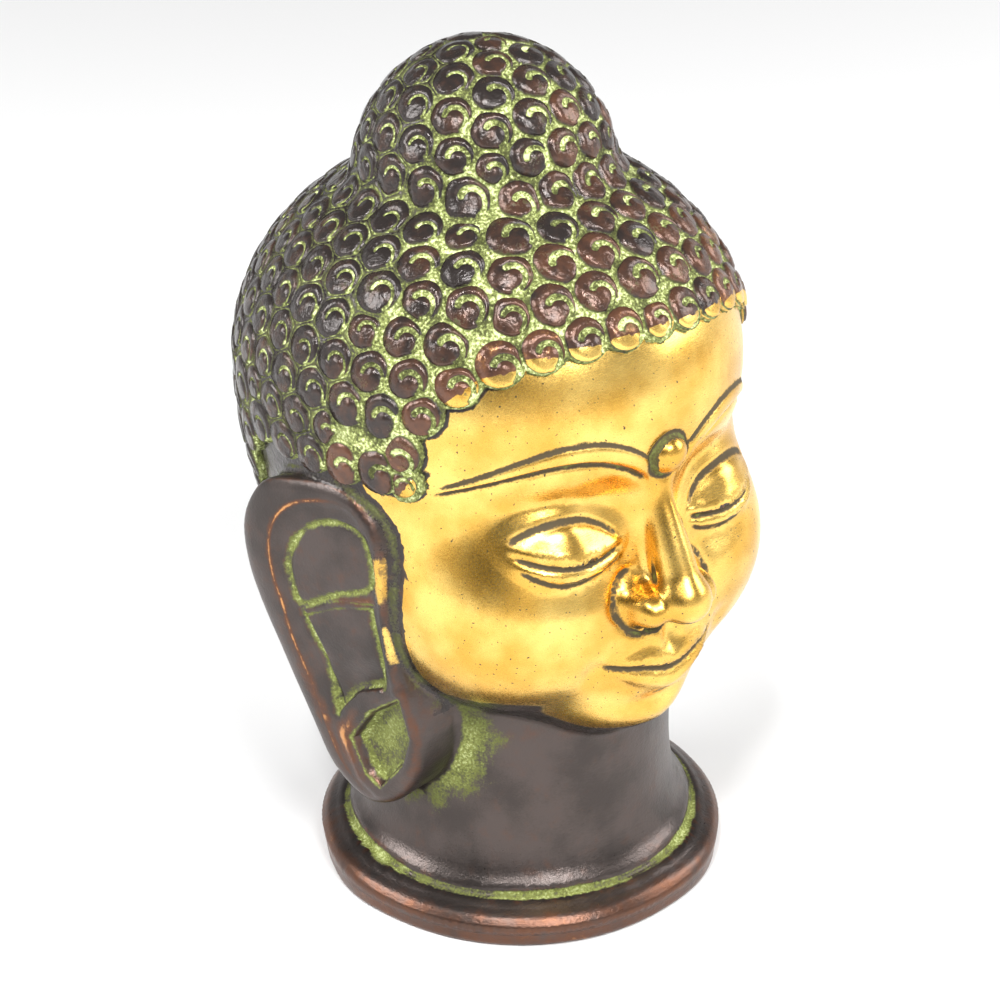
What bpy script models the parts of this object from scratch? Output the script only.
"""Brass head with snail-shell curls and a crown knot, on a round foot cast with it.

Metres, +Z up, face towards -Y, origin at the middle of the foot's underside.
The head is a star-shaped skin: points laid out around its heart, joined by a convex hull
on the unit sphere and then pushed out to the metal's surface. Curls and features are
carved by functions, in shares of the face's thirds and of the curls' own pitch.
"""

import math

import bmesh
import bpy
import numpy as np
from mathutils import Vector
from mathutils.kdtree import KDTree

MM = 0.001

# Foot and neck, turned about the Z axis
FOOT_RADIUS = 50 * MM
FOOT_HEIGHT = 8.5 * MM
FOOT_EDGE = 2.2 * MM
FOOT_CHAMFER = 1.6 * MM
FOOT_SLOPE = 2.4 * MM
NECK_RADIUS = 43.2 * MM
NECK_GROOVE = 1.4 * MM
NECK_SIDES = 32

# Hair: an egg with its widest level at HEAD_LEVEL, leaning forward by a share of its height, and the knot
HEAD_LEVEL = 130 * MM
HEAD_SETBACK = 11.4 * MM
HEAD_LEAN = 0.07
HAIR_HALF_WIDTH = 59 * MM
HAIR_HALF_DEPTH = 64.5 * MM
HAIR_RISE = 52.5 * MM
HAIR_DROP = 80 * MM
KNOT_RADIUS = 31.5 * MM
KNOT_SETBACK = 13 * MM
KNOT_LEVEL = 41 * MM
KNOT_RISE = 33.8 * MM

# Curls, carved into the hair
CURL_PITCH = 9.8 * MM
CURL_DEPTH = 1.7 * MM
CURL_GAP = 1.7 * MM

# Face: three equal thirds from the hairline to the chin
HAIRLINE_RISE = 26 * MM
FACE_THIRD = 35 * MM
HAIR_STEP = 3 * MM

# Ears, one on each side
EAR_HEIGHT = 86 * MM
EAR_WIDTH = 42 * MM
EAR_DEPTH = 26 * MM
EAR_LEAN = 0.28
EAR_RIDGE_HEIGHT = 2.5 * MM
EAR_GROOVE = 1.5 * MM
LOBE_HOLLOW = 3.4 * MM

# Edge of the hair: angles round the head from the middle of the face, and heights in thirds from the brow
TEMPLE_ANGLE = math.radians(56)
EAR_BACK_ANGLE = math.radians(104)
NAPE_ANGLE = math.radians(132)
TEMPLE_LEVEL = -0.06
NAPE_LEVEL = -1.65
HAIRLINE_POWER = 2.5

BROW_LEVEL = HEAD_LEVEL + HAIRLINE_RISE - FACE_THIRD
HEART = np.array([0, HEAD_SETBACK, BROW_LEVEL - 0.3 * FACE_THIRD])


# Small shapes that the forms below are made of


def smooth_step(value, start, end):
    share = np.clip((value - start) / (end - start), 0, 1)
    return share * share * (3 - 2 * share)


def bump(across, up, centre, spread):
    return np.exp(-(((across - centre[0]) / spread[0]) ** 2) - ((up - centre[1]) / spread[1]) ** 2)


def dome(across, up, centre, radii):
    inside = 1 - ((across - centre[0]) / radii[0]) ** 2 - ((up - centre[1]) / radii[1]) ** 2
    return np.sqrt(np.clip(inside, 0, 1))


def oval(points, centre, radii, drop=None):
    """Distance to an ellipsoid, below zero inside it. Its lower half may reach down by drop instead."""
    away = points - np.array(centre, float)
    spread = np.tile(np.array(radii, float), (len(points), 1))
    if drop is not None:
        spread[:, 2] = np.where(away[:, 2] < 0, drop, spread[:, 2])
    reach = np.linalg.norm(away / spread, axis=1)
    slope = np.linalg.norm(away / spread**2, axis=1)
    return reach * (reach - 1) / np.maximum(slope, 1e-9)


def melt(first, second, soft):
    """Union of two distances with a fillet between them."""
    share = np.clip(0.5 + 0.5 * (second - first) / soft, 0, 1)
    return second + (first - second) * share - soft * share * (1 - share)


# Head masses


def egg_distance(points, inset):
    """The leaning egg of the hair, drawn in all round by inset."""
    upright = points + (points[:, 2:] - HEAD_LEVEL) * HEAD_LEAN * [0, 1, 0]
    radii = (HAIR_HALF_WIDTH - inset, HAIR_HALF_DEPTH - inset, HAIR_RISE - inset)
    return oval(upright, (0, HEAD_SETBACK, HEAD_LEVEL), radii, HAIR_DROP)


def hair_distance(points):
    knot_centre = (0, KNOT_SETBACK, HEAD_LEVEL + KNOT_LEVEL)
    knot = oval(points, knot_centre, (KNOT_RADIUS, KNOT_RADIUS, KNOT_RISE), KNOT_LEVEL)
    return melt(egg_distance(points, 0), knot, 0.07 * FACE_THIRD)


def nose_distance(points):
    third = FACE_THIRD
    front = HEAD_SETBACK - HAIR_HALF_DEPTH
    root = np.array([0, front + 0.30 * third, BROW_LEVEL + 0.02 * third])
    tip = np.array([0, front - 0.07 * third, BROW_LEVEL - 0.80 * third])
    way = tip - root
    share = np.clip((points - root) @ way / (way @ way), 0, 1)
    off = (points - root - share[:, None] * way) * [1.15, 1, 1]
    bridge = np.linalg.norm(off, axis=1) - (0.103 + 0.063 * share) * third
    ball_centre = (0, front - 0.085 * third, BROW_LEVEL - 0.83 * third)
    ball = oval(points, ball_centre, (0.19 * third, 0.19 * third, 0.166 * third))
    folded = np.abs(points * [1, 0, 0]) + points * [0, 1, 1]
    wing_centre = (0.217 * third, front + 0.07 * third, BROW_LEVEL - 0.88 * third)
    wing = oval(folded, wing_centre, (0.12 * third, 0.186 * third, 0.126 * third))
    return melt(melt(bridge, ball, 0.057 * third), wing, 0.057 * third)


def face_distance(points):
    third = FACE_THIRD
    front = HEAD_SETBACK - HAIR_HALF_DEPTH
    jaw_centre = (0, front + 1.40 * third, BROW_LEVEL - 1.12 * third)
    jaw = oval(points, jaw_centre, (0.78 * HAIR_HALF_WIDTH, 1.33 * third, 0.95 * third))
    folded = np.abs(points * [1, 0, 0]) + points * [0, 1, 1]
    cheek_centre = (0.424 * HAIR_HALF_WIDTH, front + 0.886 * third, BROW_LEVEL - 0.92 * third)
    cheek = oval(folded, cheek_centre, (0.63 * third, 0.686 * third, 0.686 * third))
    chin_centre = (0, front + 0.657 * third, BROW_LEVEL - 1.68 * third)
    chin = oval(points, chin_centre, (0.486 * third, 0.5 * third, 0.371 * third))
    flesh = melt(egg_distance(points, HAIR_STEP), jaw, 0.4 * third)
    flesh = melt(melt(flesh, cheek, 0.343 * third), chin, 0.343 * third)
    return melt(flesh, nose_distance(points), 0.09 * third)


# Features, as heights over the face in thirds; across is |x| and up counts from the brow, both in thirds


def brow_relief(across, up):
    share = np.clip((across - 0.10) / 1.22, 0, 1)
    arch = -0.04 + 0.25 * np.sin(np.pi * share**0.85)
    rim = np.exp(-(((up - arch) / 0.075) ** 2))
    ends = smooth_step(across, 0.06, 0.16) * (1 - smooth_step(across, 1.15, 1.34))
    return 0.043 * rim * ends


def eye_relief(across, up):
    middle, level, half = 0.66, -0.37, 0.345
    along = np.clip((across - middle) / half, -1.25, 1.25)
    bow = 1 - along**2
    lid_edge = level - 0.050 - 0.060 * bow + 0.035 * along
    height = -0.120 * bump(across, up, (0.40, -0.22), (0.22, 0.22))
    height -= 0.046 * bump(across, up, (0.72, -0.12), (0.40, 0.13))
    height -= 0.043 * bump(across, up, (0.55, -0.62), (0.35, 0.12))
    height += 0.126 * dome(across, up, (middle, level), (0.44, 0.27)) ** 1.3
    fade = smooth_step(1.12 - np.abs(along), 0, 0.3)
    return height - 0.045 * fade * np.exp(-(((up - lid_edge) / 0.05) ** 2))


def lip_relief(across, up):
    line = -1.345 + 0.40 * across**2
    share = np.clip(across / 0.5, 0, 1)
    over = up - line
    fade = smooth_step(1 - share, 0, 0.5)
    height = 0.069 * bump(across, up, (0, -1.36), (0.50, 0.30))
    height += 0.074 * fade * np.exp(-(((over - 0.085) / 0.065) ** 2))
    height += 0.090 * fade * np.exp(-(((over + 0.100) / 0.080) ** 2))
    height -= 0.034 * bump(across, up, (0.53, -1.31), (0.09, 0.11))
    height -= 0.046 * bump(across, up, (0, -1.62), (0.26, 0.08))
    return height + 0.040 * bump(across, up, (0, -1.82), (0.26, 0.16))


def urna_relief(across, up):
    return 0.097 * dome(across, up, (0, 0.12), (0.135, 0.135))


def face_relief(points):
    across = np.abs(points[:, 0]) / FACE_THIRD
    up = (points[:, 2] - BROW_LEVEL) / FACE_THIRD
    height = brow_relief(across, up) + eye_relief(across, up)
    height += lip_relief(across, up) + urna_relief(across, up)
    return height * FACE_THIRD * smooth_step(-points[:, 1], 0, 0.6 * FACE_THIRD)


# Surface of the head, seen from its heart


def directions_to(points):
    away = points - HEART
    return away / np.linalg.norm(away, axis=1)[:, None]


def surface_points(directions, distance):
    """Where rays from the heart leave a form, by halving."""
    near = np.zeros(len(directions))
    far = np.full(len(directions), 2.5 * HAIR_HALF_DEPTH)
    for _ in range(24):
        middle = (near + far) / 2
        inside = distance(HEART + directions * middle[:, None]) < 0
        near = np.where(inside, middle, near)
        far = np.where(inside, far, middle)
    return HEART + directions * near[:, None]


def outward(points, distance):
    """Unit normals of a form at points on it."""
    step = 0.1 * MM
    sides = [distance(points + axis * step) - distance(points - axis * step) for axis in np.eye(3)]
    slope = np.stack(sides, axis=1)
    return slope / np.linalg.norm(slope, axis=1)[:, None]


def angle_round(points):
    """Angle round the head from the middle of the face, the same on both sides."""
    return np.arctan2(np.abs(points[:, 0]), HEAD_SETBACK - points[:, 1])


def hair_edge():
    """The hair's lower edge on one side, as angles and heights: hairline, ear, behind it, nape."""
    top = BROW_LEVEL + FACE_THIRD
    temple = BROW_LEVEL + TEMPLE_LEVEL * FACE_THIRD
    nape = BROW_LEVEL + NAPE_LEVEL * FACE_THIRD
    turn = np.linspace(0, math.pi / 2, 60)
    line_angles = TEMPLE_ANGLE * np.sin(turn) ** (2 / HAIRLINE_POWER)
    line_levels = temple + (top - temple) * np.cos(turn) ** (2 / HAIRLINE_POWER)
    over_ear = np.linspace(TEMPLE_ANGLE, EAR_BACK_ANGLE, 20)[1:]
    behind = np.linspace(EAR_BACK_ANGLE, NAPE_ANGLE, 30)[1:]
    fall = (1 - np.cos(np.linspace(0, math.pi, 30)[1:])) / 2
    back = np.linspace(NAPE_ANGLE, math.pi, 20)[1:]
    angles = np.concatenate([line_angles, over_ear, behind, back])
    level_over = np.full(len(over_ear), temple)
    level_back = np.full(len(back), nape)
    levels = np.concatenate([line_levels, level_over, temple + (nape - temple) * fall, level_back])
    return angles, levels


EDGE_ANGLES, EDGE_LEVELS = hair_edge()


def in_hair(points):
    return points[:, 2] > np.interp(angle_round(points), EDGE_ANGLES, EDGE_LEVELS)


def head_skin(directions):
    """Points on the head: the hair's outer skin inside the hair's edge, and the carved face outside it."""
    hair = surface_points(directions, hair_distance)
    face = surface_points(directions, face_distance)
    face[:, 1] -= face_relief(face)
    return np.where(in_hair(hair)[:, None], hair, face)


# Layout of the curls


def edge_row(inward, shift):
    """One point for each curl along the hair's edge, moved up into the hair by a share of the pitch."""
    on_edge = np.stack([np.sin(EDGE_ANGLES), -np.cos(EDGE_ANGLES)], axis=1) * HAIR_HALF_DEPTH
    on_edge = np.column_stack([on_edge[:, 0], HEAD_SETBACK + on_edge[:, 1], EDGE_LEVELS])
    skin = surface_points(directions_to(on_edge), hair_distance)
    length = np.concatenate([[0], np.cumsum(np.linalg.norm(np.diff(skin, axis=0), axis=1))])
    count = round(length[-1] / CURL_PITCH)
    stops = np.arange(shift, count + 0.01) * length[-1] / count
    row = np.stack([np.interp(stops, length, skin[:, axis]) for axis in range(3)], axis=1)
    upward = np.cross(directions_to(row), np.gradient(row, axis=0))
    upward *= np.where(upward[:, 2:] < 0, -1, 1)
    row += upward / np.linalg.norm(upward, axis=1)[:, None] * CURL_PITCH * inward
    mirrored = row * [-1, 1, 1]
    if shift == 0:
        row[[0, -1], 0] = 0
        mirrored = mirrored[1:-1]
    return np.concatenate([row, mirrored])


def meridian(turn):
    """The hair's outline in one direction from the crown down to the underside, with the length so far."""
    run = np.cos(PROFILE_SLOPES)
    rays = np.stack([run * math.sin(turn), -run * math.cos(turn), np.sin(PROFILE_SLOPES)], axis=1)
    profile = surface_points(rays, hair_distance)
    length = np.concatenate([[0], np.cumsum(np.linalg.norm(np.diff(profile, axis=0), axis=1))])
    return profile, length


PROFILE_SLOPES = np.linspace(math.pi / 2, -math.pi / 2, 361)
SIDE_PROFILE, SIDE_LENGTH = meridian(math.pi / 2)


def unrolled(directions):
    """Directions spread by length along the outline, which keeps neighbours together on the steep knot."""
    slopes = np.arcsin(np.clip(directions[:, 2], -1, 1))
    share = np.interp(-slopes, -PROFILE_SLOPES, SIDE_LENGTH) / SIDE_LENGTH[-1]
    turns = np.arctan2(directions[:, 1], directions[:, 0])
    reach = np.sin(math.pi * share)
    return np.stack([reach * np.cos(turns), reach * np.sin(turns), np.cos(math.pi * share)], axis=1)


def ring_curls():
    """Staggered rings of curls round the crown, each at the same distance from the one above."""
    middles = [SIDE_PROFILE[0]]
    for ring in range(1, int(SIDE_LENGTH[-1] / (CURL_PITCH * 0.866))):
        down = ring * CURL_PITCH * 0.866
        reach = np.interp(down, SIDE_LENGTH, SIDE_PROFILE[:, 0])
        count = max(5, round(2 * math.pi * reach / CURL_PITCH))
        for curl in range(count):
            profile, length = meridian((curl + 0.5 * (ring % 2)) * 2 * math.pi / count)
            middles.append([np.interp(down, length, profile[:, axis]) for axis in range(3)])
    return np.array(middles)


def curl_middles():
    """Middles of all curls, evened out by letting them push each other along the skin."""
    fixed = edge_row(0.5, 0)
    middles = fixed
    loose = ring_curls()
    for curl in loose[in_hair(loose)]:
        if np.linalg.norm(middles - curl, axis=1).min() > 0.78 * CURL_PITCH:
            middles = np.concatenate([middles, [curl]])
    for _ in range(16):
        gaps = middles[:, None] - middles[None]
        spacing = np.linalg.norm(gaps, axis=2) + np.eye(len(middles)) * 10
        push = np.clip(1.08 * CURL_PITCH - spacing, 0, None) / spacing
        shift = (gaps * push[:, :, None]).sum(axis=1) * 0.2
        shift[: len(fixed)] = 0
        middles = surface_points(directions_to(middles + shift), hair_distance)
    return middles


def tree_of(points):
    tree = KDTree(len(points))
    for index, point in enumerate(points):
        tree.insert(Vector(point), index)
    tree.balance()
    return tree


def hull_faces(directions):
    """Triangles joining directions as the convex hull of their unrolled selves, each as three indices."""
    mesh = bmesh.new()
    for direction in unrolled(directions):
        mesh.verts.new(direction)
    mesh.verts.index_update()
    bmesh.ops.convex_hull(mesh, input=mesh.verts, use_existing_faces=False)
    faces = np.array([[vertex.index for vertex in face.verts] for face in mesh.faces])
    mesh.free()
    return faces


def curl_corners(middles):
    """Directions of the low points where three curls meet, a row outside the hair closing the edge curls."""
    sites = np.concatenate([middles, edge_row(-0.45, 0.5)])
    faces = hull_faces(directions_to(sites))
    corners = sites[faces]
    longest = np.linalg.norm(corners - np.roll(corners, 1, axis=1), axis=2).max(axis=1)
    beside_curl = faces.min(axis=1) < len(middles)
    return directions_to(corners[beside_curl & (longest < 2.2 * CURL_PITCH)].mean(axis=1))


# Layout of the face


def face_directions(pitch, low, high, half_angle):
    """A staggered grid over the front of the head, between two levels counted in thirds from the brow."""
    rows = []
    count = int((high - low) * FACE_THIRD / (pitch * 0.866))
    for row in range(count + 1):
        level = BROW_LEVEL + low * FACE_THIRD + row * pitch * 0.866
        steps = int(half_angle * HAIR_HALF_WIDTH / pitch)
        angles = (np.arange(-steps, steps + 1 - row % 2) + 0.5 * (row % 2)) * pitch / HAIR_HALF_WIDTH
        side = HAIR_HALF_WIDTH * np.sin(angles)
        front = HEAD_SETBACK - HAIR_HALF_DEPTH * np.cos(angles)
        rows.append(np.stack([side, front, np.full(len(angles), level)], axis=1))
    return directions_to(np.concatenate(rows))


def spread_directions(count):
    """Evenly spread directions on the whole sphere, along a golden spiral."""
    index = np.arange(count) + 0.5
    height = 1 - 2 * index / count
    turn = index * math.pi * (3 - math.sqrt(5))
    reach = np.sqrt(1 - height**2)
    return np.stack([reach * np.cos(turn), reach * np.sin(turn), height], axis=1)


def near_features(skin):
    """Whether points lie round the eyes and brows, or round the nose and mouth."""
    across = np.abs(skin[:, 0]) / FACE_THIRD
    up = (skin[:, 2] - BROW_LEVEL) / FACE_THIRD
    eyes = (across < 1.3) & (up > -0.66) & (up < 0.32)
    mouth = (across < 0.62) & (up > -1.68) & (up < 0)
    return eyes | mouth


def side_directions(taken):
    """Directions for the face, the sides and the underside, kept clear of those already taken."""
    close = face_directions(0.080 * FACE_THIRD, -1.68, 0.32, math.radians(50))
    close = close[near_features(surface_points(close, face_distance))]
    grids = (
        (close, 0.075 * FACE_THIRD),
        (face_directions(0.22 * FACE_THIRD, -2.2, 1.1, math.radians(62)), 0.16 * FACE_THIRD),
        (spread_directions(400), 0.27 * FACE_THIRD),
    )
    added = taken
    for grid, room in grids:
        tree = tree_of(surface_points(added, face_distance))
        skin = surface_points(grid, face_distance)
        free = np.array([tree.find(Vector(point))[2] > room for point in skin])
        added = np.concatenate([added, grid[free & ~in_hair(skin)]])
    return added[len(taken) :]


# Blender objects


def new_object(name, mesh):
    data = bpy.data.meshes.new(name)
    mesh.normal_update()
    mesh.to_mesh(data)
    mesh.free()
    made = bpy.data.objects.new(name, data)
    bpy.context.scene.collection.objects.link(made)
    return made


def make_head():
    """Star-shaped skin in which each curl is a cell, inset and raised from the gaps round it."""
    middles = curl_middles()
    curls = np.concatenate([directions_to(middles), curl_corners(middles)])
    directions = np.concatenate([curls, side_directions(curls)])
    skin = head_skin(directions)
    low = np.arange(len(skin)) < len(curls)
    low &= in_hair(skin)
    skin[low] -= outward(skin[low], hair_distance) * CURL_DEPTH
    mesh = bmesh.new()
    vertices = [mesh.verts.new(point) for point in skin]
    for face in hull_faces(directions):
        mesh.faces.new([vertices[index] for index in face])
    bmesh.ops.recalc_face_normals(mesh, faces=mesh.faces)
    bmesh.ops.dissolve_verts(mesh, verts=vertices[: len(middles)])
    features = [vertices[index] for index in np.flatnonzero(near_features(skin) & ~in_hair(skin))]
    bmesh.ops.smooth_vert(
        mesh, verts=features, factor=0.3, use_axis_x=True, use_axis_y=True, use_axis_z=True
    )
    cells = [face for face in mesh.faces if len(face.verts) > 3]
    mesh.normal_update()
    bmesh.ops.inset_individual(mesh, faces=cells, thickness=CURL_GAP, depth=CURL_DEPTH)
    bmesh.ops.triangulate(mesh, faces=mesh.faces)
    return new_object("buddha_head", mesh)


def make_foot_and_neck():
    """Foot, groove and neck as one turned profile, ending inside the head."""
    rim = FOOT_RADIUS
    top = FOOT_HEIGHT
    ring = FOOT_HEIGHT + FOOT_SLOPE
    inner = NECK_RADIUS
    neck_top = BROW_LEVEL - 1.5 * FACE_THIRD
    length = neck_top - top
    profile = [
        (0, 0),
        (rim - FOOT_CHAMFER, 0),
        (rim, 1.4 * FOOT_CHAMFER),
        (rim, top - FOOT_EDGE),
        (rim - 0.3 * FOOT_EDGE, top - 0.3 * FOOT_EDGE),
        (rim - FOOT_EDGE, top),
        (inner + NECK_GROOVE, ring),
        (inner + 0.1 * NECK_GROOVE, ring - NECK_GROOVE),
        (inner, ring + 0.4 * NECK_GROOVE),
        (inner * 0.95, top + 0.09 * length),
        (inner * 0.90, top + 0.16 * length),
        (inner * 0.865, top + 0.28 * length),
        (inner * 0.85, top + 0.46 * length),
        (inner * 0.87, neck_top),
        (0, neck_top),
    ]
    mesh = bmesh.new()
    points = [mesh.verts.new((reach, 0, height)) for reach, height in profile]
    for lower, upper in zip(points, points[1:]):
        mesh.edges.new((lower, upper))
    bmesh.ops.spin(
        mesh,
        geom=mesh.verts[:] + mesh.edges[:],
        cent=(0, 0, 0),
        axis=(0, 0, 1),
        angle=2 * math.pi,
        steps=NECK_SIDES,
        use_merge=True,
    )
    bmesh.ops.remove_doubles(mesh, verts=mesh.verts, dist=1e-6)
    bmesh.ops.recalc_face_normals(mesh, faces=mesh.faces)
    return new_object("foot_and_neck", mesh)


# Loops of an ear from its front edge over the top and down to the lobe, in shares of its width and height
EAR_OUTLINE = (
    (0.00, 0.70),
    (0.01, 0.82),
    (0.08, 0.93),
    (0.27, 0.99),
    (0.56, 0.98),
    (0.80, 0.94),
    (0.92, 0.87),
    (0.98, 0.78),
    (0.97, 0.66),
    (0.92, 0.55),
    (0.84, 0.43),
    (0.76, 0.31),
    (0.66, 0.19),
    (0.56, 0.09),
    (0.43, 0.03),
    (0.25, 0.00),
    (0.08, 0.04),
    (-0.06, 0.14),
    (-0.11, 0.27),
    (-0.07, 0.38),
    (-0.01, 0.48),
    (0.00, 0.58),
)
EAR_RIDGE = (
    (0.02, 0.70),
    (0.03, 0.80),
    (0.07, 0.88),
    (0.22, 0.95),
    (0.42, 0.94),
    (0.60, 0.90),
    (0.71, 0.84),
    (0.76, 0.76),
    (0.75, 0.66),
    (0.71, 0.58),
    (0.68, 0.48),
    (0.61, 0.37),
    (0.55, 0.27),
    (0.49, 0.17),
    (0.39, 0.09),
    (0.25, 0.04),
    (0.10, 0.08),
    (-0.03, 0.17),
    (-0.08, 0.27),
    (-0.04, 0.37),
    (0.01, 0.46),
    (0.02, 0.56),
)
UPPER_PANEL = (
    (0.66, 0.70),
    (0.60, 0.79),
    (0.48, 0.85),
    (0.32, 0.88),
    (0.18, 0.87),
    (0.12, 0.74),
    (0.34, 0.67),
    (0.60, 0.60),
)
LOWER_PANEL = (
    (0.55, 0.55),
    (0.49, 0.45),
    (0.44, 0.32),
    (0.27, 0.39),
    (0.12, 0.46),
    (0.11, 0.64),
    (0.32, 0.60),
)
LOBE_DROP = (
    (0.03, 0.38),
    (-0.04, 0.27),
    (0.01, 0.18),
    (0.15, 0.08),
    (0.29, 0.13),
    (0.33, 0.20),
    (0.19, 0.32),
)


def round_loop(corners, steps):
    """Closed smooth curve through the corners, with the same number of steps between each two."""
    corners = np.array(corners, float)
    before, after, next_after = (np.roll(corners, shift, axis=0) for shift in (1, -1, -2))
    points = []
    for step in range(steps):
        share = step / steps
        bend = 0.5 * (
            2 * corners
            + (after - before) * share
            + (2 * before - 5 * corners + 4 * after - next_after) * share**2
            + (3 * corners - before - 3 * after + next_after) * share**3
        )
        points.append(bend)
    return np.stack(points, axis=1).reshape(-1, 2)


def ear_place(flat, depth, side):
    """Takes a loop drawn in shares of the ear to the side of the head, standing out there by depth.

    The ear lies against the neck at its lobe and against the head above it, and leans out to the back.
    """
    across = flat[:, 0] * EAR_WIDTH
    rise = smooth_step(flat[:, 1], 0.1, 0.8)
    plane = 1.04 * NECK_RADIUS * (1 - rise) + 0.85 * HAIR_HALF_WIDTH * rise
    out = plane + EAR_LEAN * across + depth
    front = HEAD_SETBACK - 0.6 * EAR_WIDTH
    top = BROW_LEVEL - 0.12 * FACE_THIRD
    return np.stack([side * out, front + across, top + (flat[:, 1] - 1) * EAR_HEIGHT], axis=1)


def shrunk(loop, share):
    return loop.mean(axis=0) + (loop - loop.mean(axis=0)) * share


def loft(name, loops, side):
    """Closed solid through loops of equal length, given as flat loop and depth from the inside out."""
    mesh = bmesh.new()
    rings = [[mesh.verts.new(point) for point in ear_place(flat, depth, side)] for flat, depth in loops]
    for inner, outer in zip(rings, rings[1:]):
        for index, corner in enumerate(inner):
            mesh.faces.new((inner[index - 1], corner, outer[index], outer[index - 1]))
    caps = [mesh.faces.new(rings[0]), mesh.faces.new(rings[-1])]
    bmesh.ops.triangulate(mesh, faces=caps)
    bmesh.ops.recalc_face_normals(mesh, faces=mesh.faces)
    return new_object(name, mesh)


def apply_boolean(target, other, operation):
    """Joins or cuts with an EXACT Boolean and keeps the result in the target's own mesh."""
    modifier = target.modifiers.new(other.name, "BOOLEAN")
    modifier.object = other
    modifier.operation = operation
    graph = bpy.context.evaluated_depsgraph_get()
    result = bpy.data.meshes.new_from_object(target.evaluated_get(graph))
    target.modifiers.clear()
    target.data = result
    bpy.data.objects.remove(other)


def make_ear(side):
    """Slab sunk into the head, with a sloping shoulder, two panels in grooves and a hollow lobe."""
    outline = np.array(EAR_OUTLINE)
    ridge = np.array(EAR_RIDGE)
    loops = (
        (shrunk(outline, 0.9), -EAR_DEPTH),
        (outline, 0),
        (ridge, EAR_RIDGE_HEIGHT),
        (shrunk(ridge, 0.9), EAR_RIDGE_HEIGHT - 0.5 * EAR_GROOVE),
    )
    ear = loft("ear", loops, side)
    for name, corners in (("upper_panel", UPPER_PANEL), ("lower_panel", LOWER_PANEL)):
        loop = round_loop(corners, 2)
        floor = EAR_RIDGE_HEIGHT - 1.5 * EAR_GROOVE
        trench = loft(name, ((loop, floor), (loop, EAR_RIDGE_HEIGHT + EAR_GROOVE)), side)
        inside = shrunk(loop, 1 - 5 * EAR_GROOVE / EAR_WIDTH)
        panel = loft(name + "_middle", ((inside, floor - EAR_GROOVE), (inside, floor + EAR_GROOVE)), side)
        apply_boolean(ear, trench, "DIFFERENCE")
        apply_boolean(ear, panel, "UNION")
    drop = round_loop(LOBE_DROP, 2)
    hollow_loops = ((shrunk(drop, 0.7), EAR_RIDGE_HEIGHT - LOBE_HOLLOW), (drop, 1.4 * EAR_RIDGE_HEIGHT))
    apply_boolean(ear, loft("lobe_hollow", hollow_loops, side), "DIFFERENCE")
    return ear


def dark_brass():
    material = bpy.data.materials.new("patinated_brass")
    material.use_nodes = True
    shader = material.node_tree.nodes["Principled BSDF"]
    shader.inputs["Base Color"].default_value = (0.33, 0.22, 0.10, 1)
    shader.inputs["Metallic"].default_value = 0.9
    shader.inputs["Roughness"].default_value = 0.42
    return material


for old in list(bpy.data.objects):
    bpy.data.objects.remove(old)

head = make_head()
apply_boolean(head, make_foot_and_neck(), "UNION")
for side in (-1, 1):
    apply_boolean(head, make_ear(side), "UNION")
head.data.materials.clear()
head.data.materials.append(dark_brass())
head.data.shade_smooth()
head.data.set_sharp_from_angle(angle=math.radians(35))
